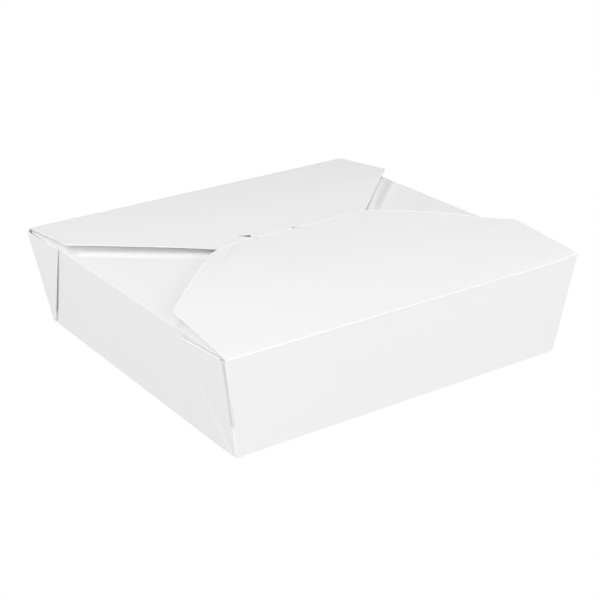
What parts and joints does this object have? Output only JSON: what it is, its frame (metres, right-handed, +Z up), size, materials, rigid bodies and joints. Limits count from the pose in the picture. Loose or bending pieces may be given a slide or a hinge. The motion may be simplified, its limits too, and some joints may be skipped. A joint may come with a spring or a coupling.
{
  "type": "takeout food box",
  "caption": "Square folded paperboard takeout food box, shown closed, with web corners, end flaps, a back flap and a front flap whose tongue drops through a slit.",
  "frame": {"origin": "middle of the base's underside, on the surface that the box stands on", "axes": "+Z up, -Y to the front wall whose flap closes last, +X to the right when facing the front wall"},
  "size_m": [0.2, 0.2, 0.0604],
  "materials": {
    "board": "white paperboard, matte to faint satin"
  },
  "bodies": {
    "tray": {"carton": "board"},
    "lid_flap": {"front_flap": "board"}
  },
  "joints": [
    {"name": "front_flap_fold", "type": "hinge", "parent": "tray", "child": "lid_flap", "pos_m": [0, -0.1, 0.052], "axis": [1, 0, 0], "range_deg": [0, 180]}
  ]
}
